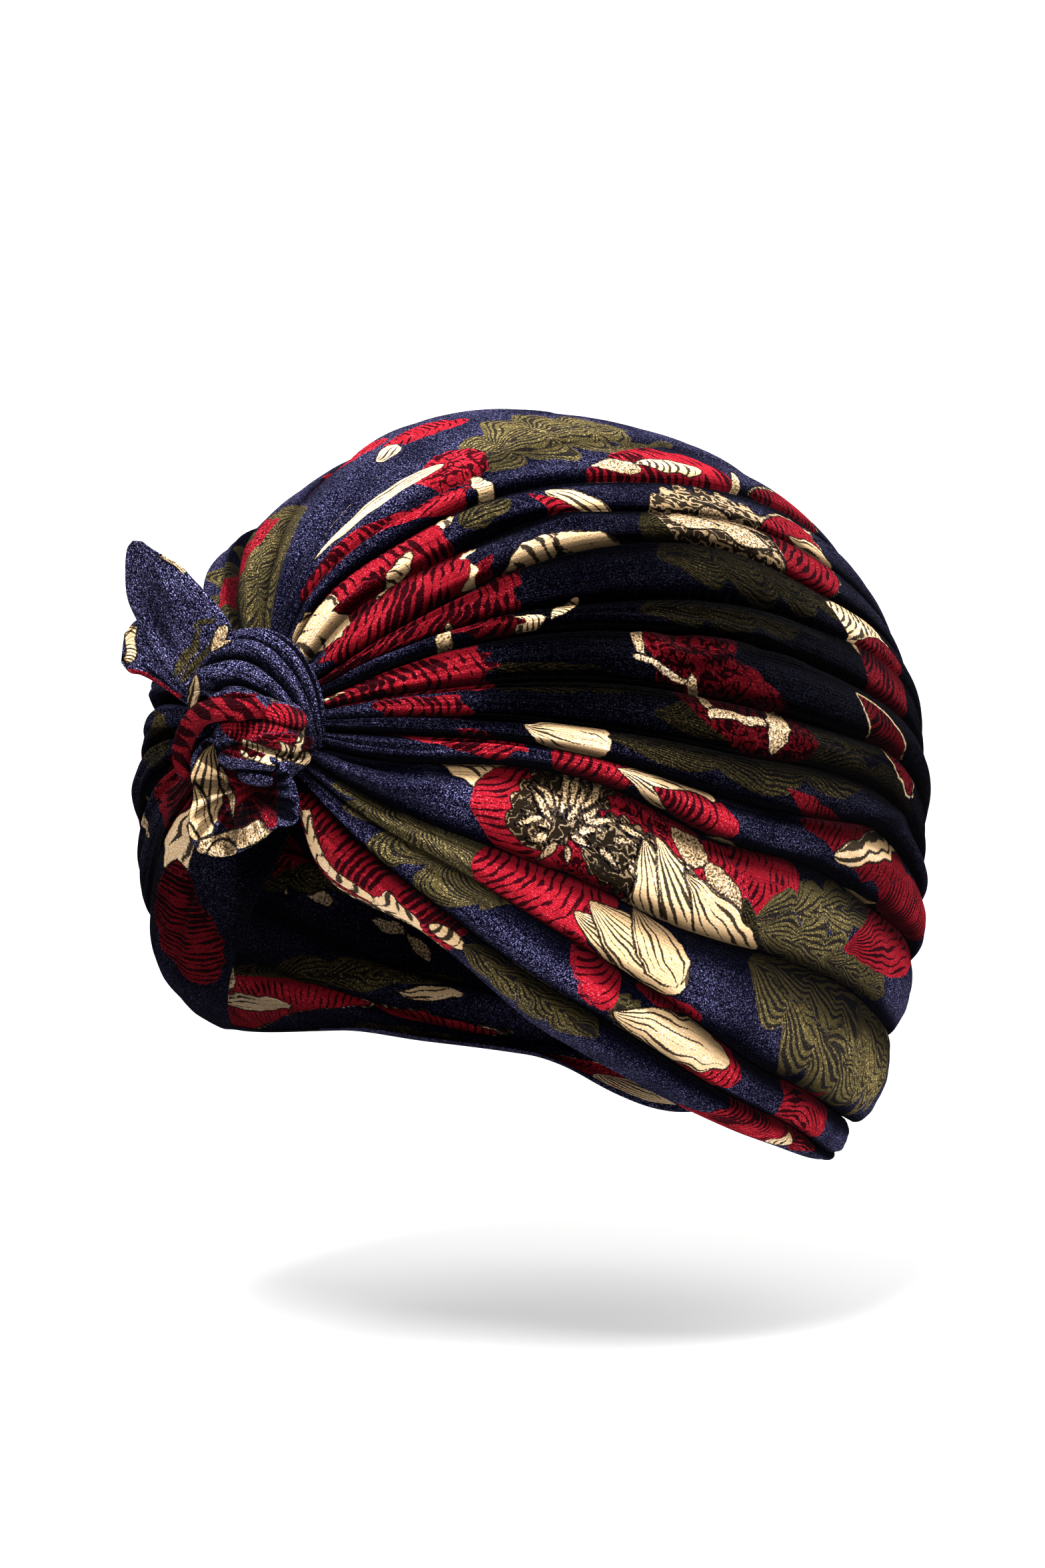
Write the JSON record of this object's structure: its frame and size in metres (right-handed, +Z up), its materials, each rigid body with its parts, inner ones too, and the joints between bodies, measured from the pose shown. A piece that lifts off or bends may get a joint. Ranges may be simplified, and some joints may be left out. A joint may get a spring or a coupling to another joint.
{
  "type": "turban",
  "caption": "Pre-tied pleated turban of stretch velvet, gathered into a front knot with two short tails and open below for the head.",
  "frame": {"origin": "middle of the opening for the head, at the level where the head enters", "axes": "+Z up along the head, -Y to the front, where the knot is, +X to the wearer's left"},
  "size_m": [0.1947, 0.2402, 0.2027],
  "materials": {
    "velvet_wrap": "printed stretch velvet, navy with red, cream and olive flowers",
    "velvet_band": "navy stretch velvet with a soft sheen",
    "velvet_curl": "printed stretch velvet, dark red",
    "velvet_roll": "printed stretch velvet, red",
    "velvet_tail_lower": "printed stretch velvet, cream and red",
    "velvet_tail_upper": "printed stretch velvet, navy",
    "velvet_tail_fold": "printed stretch velvet, dark with a cream edge"
  },
  "bodies": {
    "root": {"wrap_body": "velvet_wrap", "knot_band": "velvet_band", "knot_curl": "velvet_curl", "knot_roll": "velvet_roll", "tail_lower": "velvet_tail_lower", "tail_upper": "velvet_tail_upper", "tail_upper_fold": "velvet_tail_fold"}
  },
  "joints": []
}
